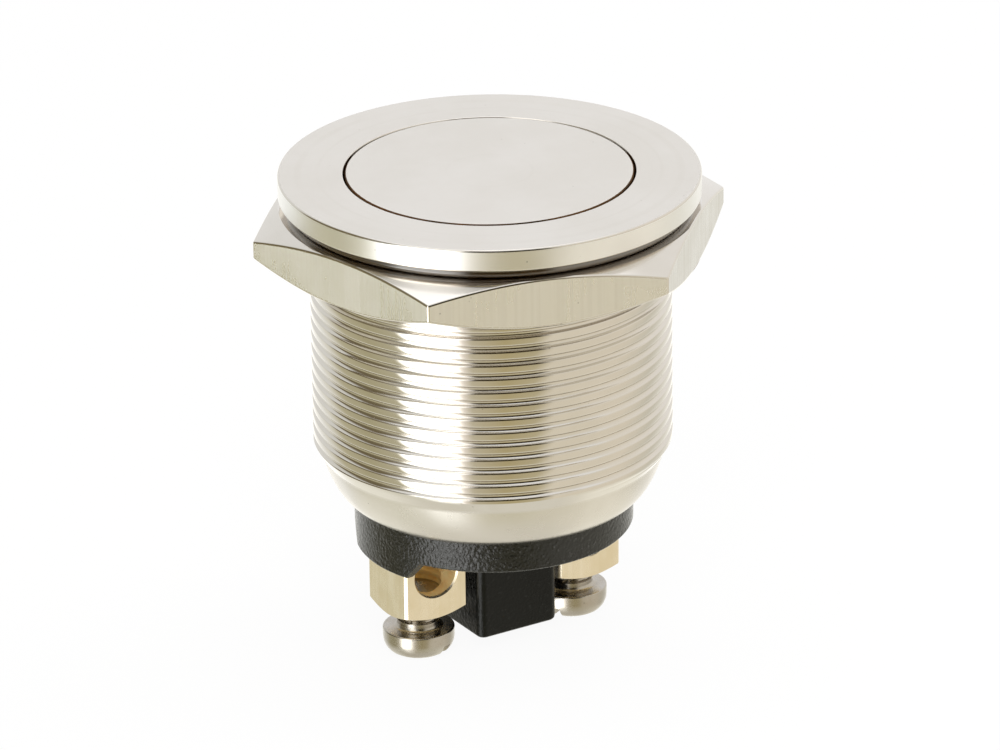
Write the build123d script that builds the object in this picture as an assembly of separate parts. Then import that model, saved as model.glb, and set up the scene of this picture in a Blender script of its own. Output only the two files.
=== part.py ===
from build123d import *
import math
import os

# Flush momentary push button for a 19 mm panel hole, all lengths in millimetres.
# The origin is the centre of the flange's underside, the face that meets the panel.
# +Z points out of the panel, and the two terminals stand side by side along X.

# Housing: flange, threaded barrel and rolled tail, turned from one bar
FLANGE_DIAMETER = 22.0
FLANGE_THICKNESS = 1.2
FLANGE_EDGE_BREAK = 0.1
THREAD_DIAMETER = 18.9
BARREL_LENGTH = 16.7
TAIL_DIAMETER = 18.05
TAIL_TAPER = 0.35
TAIL_RUN_OUT = 0.7
TAIL_BAND = 1.35
TAIL_ROLL_LENGTH = 1.15
TAIL_ROLL_BULGE = 0.06
LIP_BORE_DIAMETER = 14.8
LIP_END_WALL = 0.15
BUTTON_WELL_DEPTH = 3.8
LAND_MOUTH_CHAMFER = 0.3
CAVITY_WALL = 1.45
LIP_HEIGHT = 1.2

# Button cap and its travel
CAP_DIAMETER = 15.0
CAP_HEAD_THICKNESS = 2.0
CAP_EDGE_BREAK = 0.1
CAP_GAP = 0.1
STEM_DIAMETER = 10.04
STEM_BORE_DIAMETER = 6.8
STEM_TAIL = 0.68
CAP_ROOF = 1.4
STEM_CLEARANCE = 0.08
STEM_END_GAP = 0.49
BUTTON_TRAVEL = 1.5

# Cap seal and the clip that keeps the cap in
CAP_SEAL_SECTION = 0.9
SEAL_CLEARANCE = 0.03
SEAL_GROOVE_PLAY = 0.2
CLIP_THICKNESS = 0.5
CLIP_WIDTH = 1.75
CLIP_GROOVE_DEPTH = 0.52
CLIP_PLAY = 0.03
CLIP_GAP_ANGLE = 70.0

# Guide sleeve inside the cavity
INSERT_CLEARANCE = 0.1
SLEEVE_WALL = 1.0
SLEEVE_FLOOR = 1.0
SLEEVE_SKIRT = 0.6
GUIDE_CLEARANCE = 0.05

# Plunger rod
ROD_DIAMETER = 3.2
SPIGOT_DIAMETER = 1.8
SPIGOT_LENGTH = 0.5
SPIGOT_CLEARANCE = 0.02
COLLAR_DIAMETER = 4.6
COLLAR_THICKNESS = 0.6
COLLAR_GAP = 0.1
BRIDGE_PIN_DIAMETER = 2.6
BRIDGE_PIN_TAIL = 0.4
BRIDGE_CLIP_DIAMETER = 3.7
BRIDGE_CLIP_THICKNESS = 0.4
BRIDGE_CLIP_GROOVE = 0.3

# Springs
RETURN_WIRE = 0.5
RETURN_MEAN_DIAMETER = 5.5
RETURN_TURNS = 7
CONTACT_WIRE = 0.25
CONTACT_MEAN_DIAMETER = 3.6
CONTACT_TURNS = 3
CONTACT_SPRING_LENGTH = 1.6
SPRING_SEAT_GAP = 0.03

# Contact bridge and fixed contacts
BRIDGE_LENGTH = 7.4
BRIDGE_WIDTH = 3.0
BRIDGE_THICKNESS = 0.4
BRIDGE_BORE_CLEARANCE = 0.1
TIP_SPACING = 5.4
TIP_DIAMETER = 1.5
TIP_THICKNESS = 0.35
TIP_CROWN = 0.1
CONTACT_GAP = 0.9
STRIP_THICKNESS = 0.4
STRIP_WIDTH = 3.0
STRIP_OVERHANG = 1.35

# Insulating base
BASE_STAND_OUT = 1.7
BASE_FLOOR_THICKNESS = 2.3
BASE_WALL = 1.3
BASE_LIP_CLEARANCE = 0.05
BASE_SEAL_SECTION = 0.72
BASE_SEAL_GROOVE_DEPTH = 0.65
BASE_SEAL_GROOVE_WIDTH = 0.9
BASE_SEAL_DROP = 1.6
PIT_DIAMETER = 3.4
PIT_CLEARANCE = 0.6
END_WALL_THICKNESS = 0.45
END_WALL_DROP = 1.0
END_WALL_WIDTH = 4.8
END_WALL_FLARE = 0.8
SEPARATOR_THICKNESS = 4.8
SEPARATOR_DEPTH = 4.85
SEPARATOR_DROP = 5.7
SEPARATOR_CORNER_RADIUS = 0.45
SEPARATOR_END_RADIUS = 0.25

# Terminal posts
TERMINAL_SPACING = 9.5
POST_WIDTH = 3.8
POST_EDGE_BREAK = 0.13
POST_DROP = 4.05
POST_POCKET_DEPTH = 1.2
POST_POCKET_CLEARANCE = 0.03
POST_END_DIAMETER = 3.7
POST_END_ANGLE = 26.0
RIVET_DIAMETER = 1.8
RIVET_HEAD_DIAMETER = 2.4
RIVET_HEAD_HEIGHT = 0.4
WIRE_HOLE_DIAMETER = 2.5
WIRE_HOLE_DROP = 1.5
SCREW_BORE_DIAMETER = 2.5
SCREW_BORE_PAST_HOLE = 0.4
DRILL_POINT_ANGLE = 118.0

# Terminal screws, shown backed out as the switch is supplied
SCREW_CLEARANCE = 0.05
SCREW_TIP_BELOW_HOLE = 0.15
SCREW_TIP_CHAMFER = 0.2
SCREW_NECK_DIAMETER = 2.2
SCREW_NECK_LENGTH = 0.5
SCREW_BACKED_OUT = 1.05
SCREW_HEAD_DIAMETER = 3.8
SCREW_HEAD_HEIGHT = 1.35
SCREW_SHOULDER_RADIUS = 0.12
SCREW_CROWN_RADIUS = 0.62
SCREW_SLOT_WIDTH = 0.55
SCREW_SLOT_DEPTH = 0.6
SCREW_SLOT_ANGLES = (-67.0, 30.0)

# Panel gasket and nut
GASKET_THICKNESS = 0.55
GASKET_DIAMETER = 21.2
GASKET_CLEARANCE = 0.05
NUT_ACROSS_FLATS = 22.0
NUT_THICKNESS = 2.6
NUT_TOP_CHAMFER_ANGLE = 22.5
NUT_BOTTOM_CHAMFER_ANGLE = 30.0
NUT_BORE_CHAMFER = 0.35
NUT_CLEARANCE = 0.05
NUT_CLOCKING = 44.0

# Heights that several pieces share, stacked up from the barrel's end to the land,
# so that a longer or shorter barrel takes the whole inside along
BASE_LOW_Z = -BARREL_LENGTH - BASE_STAND_OUT
BASE_FLOOR_Z = BASE_LOW_Z + BASE_FLOOR_THICKNESS
STRIP_TOP_Z = BASE_FLOOR_Z + STRIP_THICKNESS
MOVING_TIP_END_Z = STRIP_TOP_Z + TIP_THICKNESS + CONTACT_GAP
BRIDGE_LOW_Z = MOVING_TIP_END_Z + TIP_THICKNESS
BRIDGE_TOP_Z = BRIDGE_LOW_Z + BRIDGE_THICKNESS
BRIDGE_PIN_END_Z = BRIDGE_LOW_Z - BRIDGE_CLIP_THICKNESS - BRIDGE_PIN_TAIL
COLLAR_LOW_Z = BRIDGE_TOP_Z + CONTACT_SPRING_LENGTH
COLLAR_TOP_Z = COLLAR_LOW_Z + COLLAR_THICKNESS
SLEEVE_FLOOR_LOW_Z = COLLAR_TOP_Z + COLLAR_GAP
SLEEVE_FLOOR_TOP_Z = SLEEVE_FLOOR_LOW_Z + SLEEVE_FLOOR
BASE_TOP_Z = SLEEVE_FLOOR_LOW_Z - SLEEVE_SKIRT
STEM_END_Z = SLEEVE_FLOOR_TOP_Z + STEM_END_GAP + BUTTON_TRAVEL
LEDGE_Z = STEM_END_Z + STEM_TAIL + CLIP_PLAY + CLIP_THICKNESS
WELL_FLOOR_Z = FLANGE_THICKNESS - BUTTON_WELL_DEPTH
CAP_UNDERSIDE_Z = FLANGE_THICKNESS - CAP_HEAD_THICKNESS
CAP_ROOF_Z = FLANGE_THICKNESS - CAP_ROOF
CAP_SEAL_Z = (WELL_FLOOR_Z - LAND_MOUTH_CHAMFER + LEDGE_Z + BUTTON_TRAVEL) / 2
SHOULDER_Z = LIP_HEIGHT - BARREL_LENGTH
ROLL_TOP_Z = TAIL_ROLL_LENGTH - BARREL_LENGTH
BAND_TOP_Z = ROLL_TOP_Z + TAIL_BAND
THREAD_END_Z = BAND_TOP_Z + TAIL_RUN_OUT
POST_TOP_Z = BASE_LOW_Z + POST_POCKET_DEPTH
POST_END_Z = BASE_LOW_Z - POST_DROP
WIRE_HOLE_Z = BASE_LOW_Z - WIRE_HOLE_DROP
SCREW_BEARING_Z = POST_END_Z - SCREW_BACKED_OUT

# Radii that several pieces share
THREAD_RADIUS = THREAD_DIAMETER / 2
WELL_RADIUS = CAP_DIAMETER / 2 + CAP_GAP
STEM_RADIUS = STEM_DIAMETER / 2
LAND_RADIUS = STEM_RADIUS + STEM_CLEARANCE
CAVITY_RADIUS = THREAD_RADIUS - CAVITY_WALL
INSERT_RADIUS = CAVITY_RADIUS - INSERT_CLEARANCE
TAIL_LOW_RADIUS = TAIL_DIAMETER / 2 - TAIL_TAPER
LIP_BORE_RADIUS = LIP_BORE_DIAMETER / 2
BASE_RADIUS = LIP_BORE_RADIUS - BASE_LIP_CLEARANCE


def turned(*points):
    """Revolve a closed outline of (radius, height) points about Z."""
    corners = [(radius, 0, height) for radius, height in points]
    return revolve(make_face(Polyline(*corners, close=True)), Axis.Z)


def disc(radius, low, high):
    """A plain round of the given radius between two heights."""
    return Pos(0, 0, low) * Cylinder(radius, high - low, align=(Align.CENTER, Align.CENTER, Align.MIN))


def block(width, depth, low, high):
    """A rectangular bar along Z, centred on the axis, between two heights."""
    return Pos(0, 0, low) * Box(width, depth, high - low, align=(Align.CENTER, Align.CENTER, Align.MIN))


def ring(inner, outer, low, high):
    """A flat ring between two radii and two heights."""
    return disc(outer, low, high) - disc(inner, low, high)


def o_ring(middle_radius, section, height):
    """A round-section seal ring whose section centre lies at the given height."""
    return Pos(0, 0, height) * Torus(middle_radius, section / 2)


def coil(mean_diameter, wire, turns, low, high):
    """A helical spring that fills the space between two seats."""
    start = low + wire / 2 + SPRING_SEAT_GAP
    rise = high - low - wire - 2 * SPRING_SEAT_GAP
    path = Pos(0, 0, start) * Helix(rise / turns, rise, mean_diameter / 2)
    section = Plane(origin=path @ 0, z_dir=path % 0) * Circle(wire / 2)
    return sweep(section, path=path)


def split_clip(inner, outer, low, high):
    """A retaining clip: a flat ring with a gap that lets it spring open."""
    half = math.radians(CLIP_GAP_ANGLE / 2)
    reach = 2 * outer
    wedge = make_face(
        Polyline(
            (0, 0, low),
            (reach * math.cos(half), reach * math.sin(half), low),
            (reach * math.cos(half), -reach * math.sin(half), low),
            close=True,
        )
    )
    return ring(inner, outer, low, high) - extrude(wedge, high - low, dir=(0, 0, 1))


def housing():
    """Flange, threaded barrel and rolled tail in one turned piece, bored in steps."""
    flange = FLANGE_DIAMETER / 2
    edge = FLANGE_EDGE_BREAK
    end_radius = LIP_BORE_RADIUS + LIP_END_WALL
    across = TAIL_LOW_RADIUS - end_radius
    down = TAIL_ROLL_LENGTH
    chord = math.hypot(across, down)
    roll_middle = (
        end_radius + across / 2 + TAIL_ROLL_BULGE * down / chord,
        0,
        ROLL_TOP_Z - down / 2 - TAIL_ROLL_BULGE * across / chord,
    )
    outside = Polyline(
        (WELL_RADIUS, 0, FLANGE_THICKNESS),
        (flange - edge, 0, FLANGE_THICKNESS),
        (flange, 0, FLANGE_THICKNESS - edge),
        (flange, 0, edge),
        (flange - edge, 0, 0),
        (THREAD_RADIUS, 0, 0),
        (THREAD_RADIUS, 0, THREAD_END_Z),
        (TAIL_DIAMETER / 2, 0, BAND_TOP_Z),
        (TAIL_LOW_RADIUS, 0, ROLL_TOP_Z),
    )
    roll = ThreePointArc(
        (TAIL_LOW_RADIUS, 0, ROLL_TOP_Z),
        roll_middle,
        (end_radius, 0, -BARREL_LENGTH),
    )
    inside = Polyline(
        (end_radius, 0, -BARREL_LENGTH),
        (LIP_BORE_RADIUS, 0, -BARREL_LENGTH),
        (LIP_BORE_RADIUS, 0, SHOULDER_Z),
        (CAVITY_RADIUS, 0, SHOULDER_Z),
        (CAVITY_RADIUS, 0, LEDGE_Z),
        (LAND_RADIUS, 0, LEDGE_Z),
        (LAND_RADIUS, 0, WELL_FLOOR_Z - LAND_MOUTH_CHAMFER),
        (LAND_RADIUS + LAND_MOUTH_CHAMFER, 0, WELL_FLOOR_Z),
        (WELL_RADIUS, 0, WELL_FLOOR_Z),
        (WELL_RADIUS, 0, FLANGE_THICKNESS),
    )
    return revolve(make_face([*outside.edges(), *roll.edges(), *inside.edges()]), Axis.Z)


def button_cap():
    """Flat-topped cap with a hollow stem, grooved for its seal and its clip."""
    head = CAP_DIAMETER / 2
    edge = CAP_EDGE_BREAK
    bore = STEM_BORE_DIAMETER / 2
    body = turned(
        (0, FLANGE_THICKNESS),
        (head - edge, FLANGE_THICKNESS),
        (head, FLANGE_THICKNESS - edge),
        (head, CAP_UNDERSIDE_Z),
        (STEM_RADIUS, CAP_UNDERSIDE_Z),
        (STEM_RADIUS, STEM_END_Z),
        (bore, STEM_END_Z),
        (bore, CAP_ROOF_Z),
        (0, CAP_ROOF_Z),
    )
    half_groove = (CAP_SEAL_SECTION + SEAL_GROOVE_PLAY) / 2
    groove_floor = LAND_RADIUS - SEAL_CLEARANCE - CAP_SEAL_SECTION
    body -= ring(groove_floor, STEM_RADIUS + 1, CAP_SEAL_Z - half_groove, CAP_SEAL_Z + half_groove)
    clip_floor = STEM_RADIUS - CLIP_GROOVE_DEPTH
    body -= ring(clip_floor, STEM_RADIUS + 1, LEDGE_Z - CLIP_THICKNESS - CLIP_PLAY, LEDGE_Z)
    return body - disc(SPIGOT_DIAMETER / 2 + SPIGOT_CLEARANCE, CAP_ROOF_Z, CAP_ROOF_Z + SPIGOT_LENGTH)


def cap_seal():
    """Seal ring in the stem's groove, sliding on the housing's land."""
    middle = LAND_RADIUS - SEAL_CLEARANCE - CAP_SEAL_SECTION / 2
    return o_ring(middle, CAP_SEAL_SECTION, CAP_SEAL_Z)


def cap_clip():
    """Clip in the stem's lower groove, stopped by the ledge at the end of the land."""
    inner = STEM_RADIUS - CLIP_GROOVE_DEPTH + CLIP_PLAY
    return split_clip(inner, inner + CLIP_WIDTH, LEDGE_Z - CLIP_THICKNESS, LEDGE_Z)


def guide_sleeve():
    """Moulded sleeve that guides the plunger and carries the return spring."""
    sleeve = disc(INSERT_RADIUS, BASE_TOP_Z, LEDGE_Z)
    inner = INSERT_RADIUS - SLEEVE_WALL
    sleeve -= disc(inner, SLEEVE_FLOOR_TOP_Z, LEDGE_Z)
    sleeve -= disc(inner, BASE_TOP_Z, SLEEVE_FLOOR_LOW_Z)
    return sleeve - disc(ROD_DIAMETER / 2 + GUIDE_CLEARANCE, SLEEVE_FLOOR_LOW_Z, SLEEVE_FLOOR_TOP_Z)


def plunger():
    """Moulded rod from the cap's roof down to the contact bridge."""
    rod = ROD_DIAMETER / 2
    pin = BRIDGE_PIN_DIAMETER / 2
    spigot = SPIGOT_DIAMETER / 2
    groove = pin - BRIDGE_CLIP_GROOVE
    clip_low = BRIDGE_LOW_Z - BRIDGE_CLIP_THICKNESS
    return turned(
        (0, CAP_ROOF_Z + SPIGOT_LENGTH),
        (spigot, CAP_ROOF_Z + SPIGOT_LENGTH),
        (spigot, CAP_ROOF_Z),
        (rod, CAP_ROOF_Z),
        (rod, COLLAR_TOP_Z),
        (COLLAR_DIAMETER / 2, COLLAR_TOP_Z),
        (COLLAR_DIAMETER / 2, COLLAR_LOW_Z),
        (pin, COLLAR_LOW_Z),
        (pin, BRIDGE_LOW_Z),
        (groove, BRIDGE_LOW_Z),
        (groove, clip_low),
        (pin, clip_low),
        (pin, BRIDGE_PIN_END_Z),
        (0, BRIDGE_PIN_END_Z),
    )


def bridge_clip():
    """Small clip on the plunger's pin that keeps the contact bridge on it."""
    inner = BRIDGE_PIN_DIAMETER / 2 - BRIDGE_CLIP_GROOVE
    return split_clip(inner, BRIDGE_CLIP_DIAMETER / 2, BRIDGE_LOW_Z - BRIDGE_CLIP_THICKNESS, BRIDGE_LOW_Z)


def return_spring():
    """Spring around the plunger, from the sleeve's floor up to the cap's roof."""
    return coil(RETURN_MEAN_DIAMETER, RETURN_WIRE, RETURN_TURNS, SLEEVE_FLOOR_TOP_Z, CAP_ROOF_Z)


def contact_spring():
    """Spring between the plunger's collar and the contact bridge."""
    return coil(CONTACT_MEAN_DIAMETER, CONTACT_WIRE, CONTACT_TURNS, BRIDGE_TOP_Z, COLLAR_LOW_Z)


def contact_bridge():
    """Flat strip with rounded ends that closes the gap between the two fixed contacts."""
    outline = SlotOverall(BRIDGE_LENGTH, BRIDGE_WIDTH)
    strip = extrude(Pos(0, 0, BRIDGE_LOW_Z) * outline, BRIDGE_THICKNESS)
    return strip - disc(BRIDGE_PIN_DIAMETER / 2 + BRIDGE_BORE_CLEARANCE, BRIDGE_LOW_Z, BRIDGE_TOP_Z)


def contact_tip(side, seat, facing):
    """Round contact with a crowned face, on the left (-1) or right (1), facing up (1) or down (-1)."""
    radius = TIP_DIAMETER / 2
    rim = TIP_THICKNESS - TIP_CROWN
    crown_radius = (radius**2 + TIP_CROWN**2) / (2 * TIP_CROWN)
    ball = Pos(0, 0, TIP_THICKNESS - crown_radius) * Sphere(crown_radius)
    tip = disc(radius, 0, rim) + (disc(radius, rim, TIP_THICKNESS) & ball)
    turn = Rot(0, 0, 0) if facing > 0 else Rot(180, 0, 0)
    return Pos(side * TIP_SPACING / 2, 0, seat) * turn * tip


def contact_strip(side):
    """Strip on the base's floor from the terminal's rivet in to the fixed contact."""
    inner = TIP_SPACING / 2 - TIP_DIAMETER / 2
    outer = TERMINAL_SPACING / 2 + STRIP_OVERHANG
    plate = Pos((inner + outer) / 2, 0, BASE_FLOOR_Z) * Rectangle(outer - inner, STRIP_WIDTH)
    plate = fillet(plate.vertices().group_by(Axis.X)[-1], STRIP_WIDTH / 3)
    strip = extrude(plate, STRIP_THICKNESS)
    strip -= Pos(TERMINAL_SPACING / 2, 0, 0) * disc(RIVET_DIAMETER / 2, BASE_FLOOR_Z, STRIP_TOP_Z)
    return strip if side > 0 else mirror(strip, Plane.YZ)


def end_wall():
    """Low rim wall outside one terminal, with flared ends."""
    band = ring(BASE_RADIUS - END_WALL_THICKNESS, BASE_RADIUS, BASE_LOW_Z - END_WALL_DROP, BASE_LOW_Z)
    low_half = END_WALL_WIDTH / 2
    high_half = low_half + END_WALL_FLARE
    low = BASE_LOW_Z - END_WALL_DROP
    gate = make_face(
        Polyline(
            (0, -low_half, low),
            (0, low_half, low),
            (0, high_half, BASE_LOW_Z),
            (0, -high_half, BASE_LOW_Z),
            close=True,
        )
    )
    return band & extrude(gate, BASE_RADIUS + 1, dir=(1, 0, 0))


def insulating_base():
    """Moulded base: cup with the fixed contacts, closing disc, end walls and separator."""
    cup = disc(INSERT_RADIUS, SHOULDER_Z, BASE_TOP_Z)
    closing = disc(BASE_RADIUS, BASE_LOW_Z, SHOULDER_Z)
    base = cup + closing
    base -= disc(INSERT_RADIUS - BASE_WALL, BASE_FLOOR_Z, BASE_TOP_Z)
    pit_floor = BRIDGE_PIN_END_Z - BUTTON_TRAVEL - PIT_CLEARANCE
    base -= disc(PIT_DIAMETER / 2, pit_floor, BASE_FLOOR_Z)
    seal_z = BASE_TOP_Z - BASE_SEAL_DROP
    half = BASE_SEAL_GROOVE_WIDTH / 2
    base -= ring(INSERT_RADIUS - BASE_SEAL_GROOVE_DEPTH, INSERT_RADIUS + 1, seal_z - half, seal_z + half)
    separator = block(SEPARATOR_THICKNESS, SEPARATOR_DEPTH, BASE_LOW_Z - SEPARATOR_DROP, BASE_LOW_Z)
    separator = fillet(separator.edges().filter_by(Axis.Z), SEPARATOR_CORNER_RADIUS)
    separator = fillet(separator.faces().sort_by(Axis.Z)[0].edges(), SEPARATOR_END_RADIUS)
    base += separator
    wall = end_wall()
    base += wall
    base += mirror(wall, Plane.YZ)
    pocket_width = POST_WIDTH + 2 * POST_POCKET_CLEARANCE
    pocket = block(pocket_width, pocket_width, BASE_LOW_Z - END_WALL_DROP, POST_TOP_Z)
    rivet_hole = disc(RIVET_DIAMETER / 2, POST_TOP_Z, BASE_FLOOR_Z)
    for side in (-1, 1):
        base -= Pos(side * TERMINAL_SPACING / 2, 0, 0) * (pocket + rivet_hole)
    return base


def base_seal():
    """Seal ring between the base's groove and the housing's cavity wall."""
    middle = INSERT_RADIUS - BASE_SEAL_GROOVE_DEPTH + BASE_SEAL_SECTION / 2 + SPIGOT_CLEARANCE
    return o_ring(middle, BASE_SEAL_SECTION, BASE_TOP_Z - BASE_SEAL_DROP)


def terminal_post(side):
    """Square brass post: riveted through the base, cross-drilled for the wire, tapped for the screw."""
    post = block(POST_WIDTH, POST_WIDTH, POST_END_Z, POST_TOP_Z)
    post = chamfer(post.edges().filter_by(Axis.Z), POST_EDGE_BREAK)
    end = POST_END_DIAMETER / 2
    reach = POST_WIDTH
    rise = (reach - end) * math.tan(math.radians(POST_END_ANGLE))
    post &= turned(
        (0, POST_TOP_Z),
        (reach, POST_TOP_Z),
        (reach, POST_END_Z + rise),
        (end, POST_END_Z),
        (0, POST_END_Z),
    )
    rivet_z = STRIP_TOP_Z + RIVET_HEAD_HEIGHT
    head = disc(RIVET_HEAD_DIAMETER / 2, STRIP_TOP_Z, rivet_z)
    head = chamfer(head.faces().sort_by(Axis.Z)[-1].edges(), RIVET_HEAD_HEIGHT / 2)
    post += disc(RIVET_DIAMETER / 2, POST_TOP_Z, STRIP_TOP_Z) + head
    bore = SCREW_BORE_DIAMETER / 2
    bore_top = WIRE_HOLE_Z + WIRE_HOLE_DIAMETER / 2 + SCREW_BORE_PAST_HOLE
    point = bore / math.tan(math.radians(DRILL_POINT_ANGLE / 2))
    post -= turned((0, POST_END_Z), (bore, POST_END_Z), (bore, bore_top), (0, bore_top + point))
    wire_hole = Rot(90, 0, 0) * Cylinder(WIRE_HOLE_DIAMETER / 2, 2 * POST_WIDTH)
    post -= Pos(0, 0, WIRE_HOLE_Z) * wire_hole
    return Pos(side * TERMINAL_SPACING / 2, 0, 0) * post


def terminal_screw(side):
    """Slotted pan-head screw that enters the post from below and clamps the wire."""
    shank = SCREW_BORE_DIAMETER / 2 - SCREW_CLEARANCE
    neck = SCREW_NECK_DIAMETER / 2
    head = SCREW_HEAD_DIAMETER / 2
    tip_z = WIRE_HOLE_Z - WIRE_HOLE_DIAMETER / 2 - SCREW_TIP_BELOW_HOLE
    screw = turned(
        (0, tip_z),
        (shank - SCREW_TIP_CHAMFER, tip_z),
        (shank, tip_z - SCREW_TIP_CHAMFER),
        (shank, SCREW_BEARING_Z + SCREW_NECK_LENGTH),
        (neck, SCREW_BEARING_Z + SCREW_NECK_LENGTH),
        (neck, SCREW_BEARING_Z),
        (0, SCREW_BEARING_Z),
    )
    pan = disc(head, SCREW_BEARING_Z - SCREW_HEAD_HEIGHT, SCREW_BEARING_Z)
    pan = fillet(pan.faces().sort_by(Axis.Z)[0].edges(), SCREW_CROWN_RADIUS)
    pan = fillet(pan.faces().sort_by(Axis.Z)[-1].edges(), SCREW_SHOULDER_RADIUS)
    slot_low = SCREW_BEARING_Z - SCREW_HEAD_HEIGHT
    slot = block(3 * head, SCREW_SLOT_WIDTH, slot_low, slot_low + SCREW_SLOT_DEPTH)
    angle = SCREW_SLOT_ANGLES[0] if side < 0 else SCREW_SLOT_ANGLES[1]
    screw += pan
    screw -= Rot(0, 0, angle) * slot
    return Pos(side * TERMINAL_SPACING / 2, 0, 0) * screw


def panel_gasket():
    """Rubber ring squeezed between the flange and the panel, rounded on the outside."""
    middle_z = -GASKET_THICKNESS / 2
    bulge = GASKET_THICKNESS / 2
    flat = ring(THREAD_RADIUS + GASKET_CLEARANCE, GASKET_DIAMETER / 2 - bulge, -GASKET_THICKNESS, 0)
    return flat + o_ring(GASKET_DIAMETER / 2 - bulge, GASKET_THICKNESS, middle_z)


def hex_nut():
    """Hexagonal panel nut, chamfered on both faces and countersunk at both ends of its bore."""
    flat = NUT_ACROSS_FLATS / 2
    top = -GASKET_THICKNESS
    low = top - NUT_THICKNESS
    corner = flat / math.cos(math.radians(30)) + 1
    top_fall = (corner - flat) * math.tan(math.radians(NUT_TOP_CHAMFER_ANGLE))
    low_rise = (corner - flat) * math.tan(math.radians(NUT_BOTTOM_CHAMFER_ANGLE))
    bore = THREAD_RADIUS + NUT_CLEARANCE
    sink = NUT_BORE_CHAMFER
    hexagon = RegularPolygon(flat, 6, major_radius=False, rotation=NUT_CLOCKING)
    nut = extrude(Pos(0, 0, low) * hexagon, NUT_THICKNESS)
    return nut & turned(
        (bore + sink, top),
        (flat, top),
        (corner, top - top_fall),
        (corner, low + low_rise),
        (flat, low),
        (bore + sink, low),
        (bore, low + sink),
        (bore, top - sink),
    )


def pieces():
    """Every piece of the switch by name."""
    named = {
        "housing": housing(),
        "button_cap": button_cap(),
        "cap_seal": cap_seal(),
        "cap_clip": cap_clip(),
        "return_spring": return_spring(),
        "guide_sleeve": guide_sleeve(),
        "plunger": plunger(),
        "bridge_clip": bridge_clip(),
        "contact_spring": contact_spring(),
        "contact_bridge": contact_bridge(),
        "insulating_base": insulating_base(),
        "base_seal": base_seal(),
        "panel_gasket": panel_gasket(),
        "hex_nut": hex_nut(),
    }
    for side, word in ((-1, "left"), (1, "right")):
        named[f"moving_contact_{word}"] = contact_tip(side, BRIDGE_LOW_Z, -1)
        named[f"fixed_contact_{word}"] = contact_tip(side, STRIP_TOP_Z, 1)
        named[f"contact_strip_{word}"] = contact_strip(side)
        named[f"terminal_post_{word}"] = terminal_post(side)
        named[f"terminal_screw_{word}"] = terminal_screw(side)
    return named


os.makedirs("parts", exist_ok=True)
for node, shape in pieces().items():
    export_step(shape, f"parts/{node}.step")
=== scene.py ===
"""Looks of a flush metal push button with a threaded barrel, hex nut and screw terminals.

Lengths in the classes are millimetres in the frame of the solids: the origin is the centre of the
flange's underside, +Z points out of the panel and the terminals stand side by side along X.
"""

import logging
import math
from dataclasses import dataclass
from enum import Enum
from typing import Callable, Sequence

import bpy
from bpy.types import Material, Node, NodeSocket, NodeTree, Object
from mathutils import Matrix, Quaternion, Vector, noise


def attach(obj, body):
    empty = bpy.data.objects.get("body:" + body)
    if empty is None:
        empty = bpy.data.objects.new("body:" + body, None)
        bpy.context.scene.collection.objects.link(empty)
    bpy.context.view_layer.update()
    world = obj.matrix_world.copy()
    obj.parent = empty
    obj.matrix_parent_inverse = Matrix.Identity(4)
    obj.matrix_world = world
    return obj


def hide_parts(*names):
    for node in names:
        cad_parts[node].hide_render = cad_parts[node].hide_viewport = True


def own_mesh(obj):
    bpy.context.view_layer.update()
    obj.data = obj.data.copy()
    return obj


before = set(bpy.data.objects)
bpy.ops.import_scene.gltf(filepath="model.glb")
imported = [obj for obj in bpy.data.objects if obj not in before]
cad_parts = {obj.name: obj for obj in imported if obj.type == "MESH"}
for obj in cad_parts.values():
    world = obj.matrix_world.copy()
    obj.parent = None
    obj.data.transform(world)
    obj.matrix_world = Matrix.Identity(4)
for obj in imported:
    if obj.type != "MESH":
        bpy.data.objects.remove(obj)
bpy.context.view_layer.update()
MM = 0.001
TURN_SEGMENTS = 256
SMALL_SEGMENTS = 72
WELD = 5e-7  # metres
DEGENERATE = 1e-7  # metres
LEVEL = 1e-4  # how near a height counts as on it
CLEAR = 0.012  # how near its end rings a thread is levelled
BLOW_UP = 1e4
CORNER_PULL, SIDE_PULL = 0.64, 0.18  # shares of the corner and of each side in the middle of a rounding

log = logging.getLogger("push_button")

Point = tuple[float, float]
Colour = tuple[float, float, float]


# Bench: the small moves that every piece is made with


def clear_selection() -> None:
    """Leave edit mode and deselect every object."""
    if bpy.context.object and bpy.context.object.mode != "OBJECT":
        bpy.ops.object.mode_set(mode="OBJECT")
    bpy.ops.object.select_all(action="DESELECT")


def take(piece: Object) -> Object:
    """Leave edit mode, select one object alone, make it the active one and give it."""
    clear_selection()
    piece.select_set(True)
    bpy.context.view_layer.objects.active = piece
    return piece


def edit(piece: Object, kind: str = "VERT", action: str = "SELECT") -> None:
    """Open a piece in edit mode.

    Args:
        piece: The object.
        kind: "VERT", "EDGE" or "FACE".
        action: "SELECT" or "DESELECT", done to all of it.
    """
    take(piece)
    bpy.ops.object.mode_set(mode="EDIT")
    bpy.ops.mesh.select_mode(type=kind)
    bpy.ops.mesh.select_all(action=action)


def named(name: str) -> Object:
    """Name the active object and its mesh, put its place into the mesh, and give it."""
    piece = take(bpy.context.object)
    piece.name = name
    piece.data.name = name
    bpy.ops.object.transform_apply(location=True, rotation=True, scale=True)
    return piece


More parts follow.
